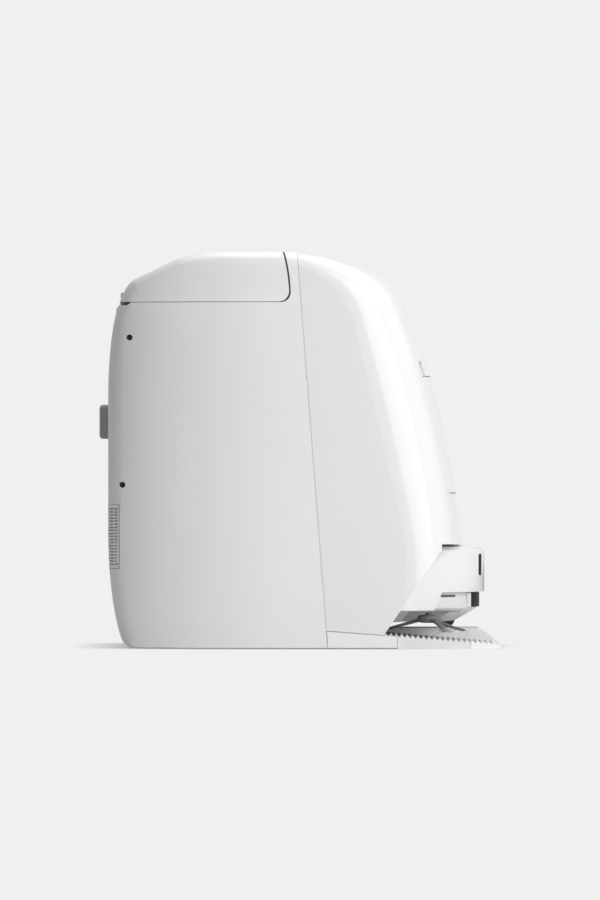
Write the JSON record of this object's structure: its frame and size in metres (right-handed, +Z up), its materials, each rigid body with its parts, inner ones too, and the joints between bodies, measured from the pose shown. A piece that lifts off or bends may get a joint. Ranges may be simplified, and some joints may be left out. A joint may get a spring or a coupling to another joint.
{
  "type": "robot vacuum base station",
  "caption": "Floor-standing self-emptying and mop-washing base station with its round robot vacuum parked in the bay at its foot.",
  "frame": {"origin": "on the floor, under the middle of the overall bounding box", "axes": "+X from the wall side to the front, where the robot drives out; +Y to the left; +Z up"},
  "size_m": [0.4466, 0.4, 0.44],
  "materials": {
    "satin_white": "fine satin moulding texture",
    "gloss_white": "polished gloss moulding",
    "grey_plastic": "fine matt moulding texture",
    "pale_grey": "fine matt moulding texture",
    "dark_plastic": "satin black",
    "clear_tank": "clear, slightly blue",
    "smoked_tank": "smoked, translucent",
    "black_rubber": "matt rubber",
    "steel": "brushed",
    "soft_fabric": "soft non-woven and microfibre",
    "card": "pressed card",
    "circuit_green": "circuit board"
  },
  "bodies": {
    "station": {"rear_housing": "satin_white", "front_housing": "gloss_white", "base_plate": "satin_white", "bay_liner": "satin_white", "tank_well": "grey_plastic", "lid_hinge_pin_left": "steel", "lid_hinge_pin_right": "steel", "wall_spacer": "grey_plastic", "vent_grille_left": "satin_white", "vent_grille_right": "satin_white", "screw_plug_upper_left": "dark_plastic", "screw_plug_lower_left": "dark_plastic", "screw_plug_upper_right": "dark_plastic", "screw_plug_lower_right": "dark_plastic", "rear_grip_cup": "grey_plastic", "mains_inlet": "dark_plastic", "foot_rear_right": "black_rubber", "foot_rear_left": "black_rubber", "foot_front_right": "black_rubber", "foot_front_left": "black_rubber", "dust_chamber": "grey_plastic", "dust_bag": "soft_fabric", "dust_bag_collar": "card", "suction_fan": "dark_plastic", "water_pump": "dark_plastic", "power_supply": "steel", "control_board": "circuit_green", "charge_contact_left": "steel", "charge_contact_right": "steel"},
    "lid": {"top_lid": "satin_white"},
    "door": {"front_door": "gloss_white"},
    "tray": {"wash_tray": "pale_grey"},
    "clean_water": {"clean_tank": "clear_tank", "clean_tank_cap": "dark_plastic"},
    "clean_bail": {"clean_tank_handle": "dark_plastic"},
    "dirty_water": {"dirty_tank": "smoked_tank", "dirty_tank_cap": "dark_plastic"},
    "dirty_bail": {"dirty_tank_handle": "dark_plastic"},
    "robot": {"robot_base": "satin_white", "robot_top_cover": "gloss_white", "robot_sensor_bar": "dark_plastic", "robot_battery": "dark_plastic", "robot_dust_box": "smoked_tank", "side_brush_motor": "grey_plastic", "roller_brush_housing": "dark_plastic"},
    "bumper": {"robot_bumper": "gloss_white", "robot_window_left": "dark_plastic", "robot_window_right": "dark_plastic"},
    "arm_left": {"wheel_arm_left": "grey_plastic"},
    "arm_right": {"wheel_arm_right": "grey_plastic"},
    "wheel_left": {"drive_wheel_left": "black_rubber"},
    "wheel_right": {"drive_wheel_right": "black_rubber"},
    "caster": {"caster_fork": "dark_plastic"},
    "caster_roller": {"caster_wheel": "black_rubber"},
    "side_brush_rotor": {"side_brush": "dark_plastic"},
    "roller": {"roller_brush": "black_rubber"},
    "mop_left": {"mop_disc_left": "grey_plastic", "mop_pad_left": "soft_fabric"},
    "mop_right": {"mop_disc_right": "grey_plastic", "mop_pad_right": "soft_fabric"}
  },
  "joints": [
    {"name": "lid_hinge", "type": "hinge", "parent": "station", "child": "lid", "pos_m": [-0.194, 0, 0.388], "axis": [0, -1, 0], "range_deg": [0, 78]},
    {"name": "door_pull", "type": "slide", "parent": "station", "child": "door", "axis": [1, 0, 0], "range_m": [0, 0.06]},
    {"name": "tray_pull", "type": "slide", "parent": "station", "child": "tray", "axis": [1, 0, 0], "range_m": [0, 0.2]},
    {"name": "clean_tank_lift", "type": "slide", "parent": "station", "child": "clean_water", "axis": [0, 0, 1], "range_m": [0, 0.035]},
    {"name": "clean_bail_turn", "type": "hinge", "parent": "clean_water", "child": "clean_bail", "pos_m": [-0.099, 0.085, 0.371], "axis": [0, 1, 0], "range_deg": [0, 90]},
    {"name": "dirty_tank_lift", "type": "slide", "parent": "station", "child": "dirty_water", "axis": [0, 0, 1], "range_m": [0, 0.035]},
    {"name": "dirty_bail_turn", "type": "hinge", "parent": "dirty_water", "child": "dirty_bail", "pos_m": [-0.099, -0.085, 0.371], "axis": [0, 1, 0], "range_deg": [0, 90]},
    {"name": "robot_undock", "type": "slide", "parent": "station", "child": "robot", "axis": [1, 0, 0], "range_m": [0, 0.38]},
    {"name": "bumper_press", "type": "slide", "parent": "robot", "child": "bumper", "axis": [-1, 0, 0], "range_m": [0, 0.0025], "stiffness_N_per_m": 400, "springref_m": -0.001},
    {"name": "arm_left_swing", "type": "hinge", "parent": "robot", "child": "arm_left", "pos_m": [-0.012, 0.112, 0.0528], "axis": [0, -1, 0], "range_deg": [0, 8], "stiffness_Nm_per_rad": 2, "springref_deg": -11.46},
    {"name": "arm_right_swing", "type": "hinge", "parent": "robot", "child": "arm_right", "pos_m": [-0.012, -0.112, 0.0528], "axis": [0, -1, 0], "range_deg": [0, 8], "stiffness_Nm_per_rad": 2, "springref_deg": -11.46},
    {"name": "wheel_left_roll", "type": "hinge", "parent": "arm_left", "child": "wheel_left", "pos_m": [0.032, 0.112, 0.0518], "axis": [0, 1, 0], "continuous": true},
    {"name": "wheel_right_roll", "type": "hinge", "parent": "arm_right", "child": "wheel_right", "pos_m": [0.032, -0.112, 0.0518], "axis": [0, 1, 0], "continuous": true},
    {"name": "caster_swivel", "type": "hinge", "parent": "robot", "child": "caster", "pos_m": [0.165, 0, 0.045], "axis": [0, 0, 1], "continuous": true},
    {"name": "caster_roll", "type": "hinge", "parent": "caster", "child": "caster_roller", "pos_m": [0.165, 0, 0.0304], "axis": [0, 1, 0], "continuous": true},
    {"name": "side_brush_spin", "type": "hinge", "parent": "robot", "child": "side_brush_rotor", "pos_m": [0.144, -0.11, 0.032], "axis": [0, 0, 1], "continuous": true},
    {"name": "roller_brush_spin", "type": "hinge", "parent": "robot", "child": "roller", "pos_m": [0.082, 0, 0.045], "axis": [0, 1, 0], "continuous": true},
    {"name": "mop_left_spin", "type": "hinge", "parent": "robot", "child": "mop_left", "pos_m": [-0.054, 0.073, 0.03], "axis": [0, 0, 1], "continuous": true},
    {"name": "mop_right_spin", "type": "hinge", "parent": "robot", "child": "mop_right", "pos_m": [-0.054, -0.073, 0.03], "axis": [0, 0, 1], "continuous": true}
  ],
  "couplings": [
    {"joint": "mop_right_spin", "follows": "mop_left_spin", "ratio": -1}
  ]
}
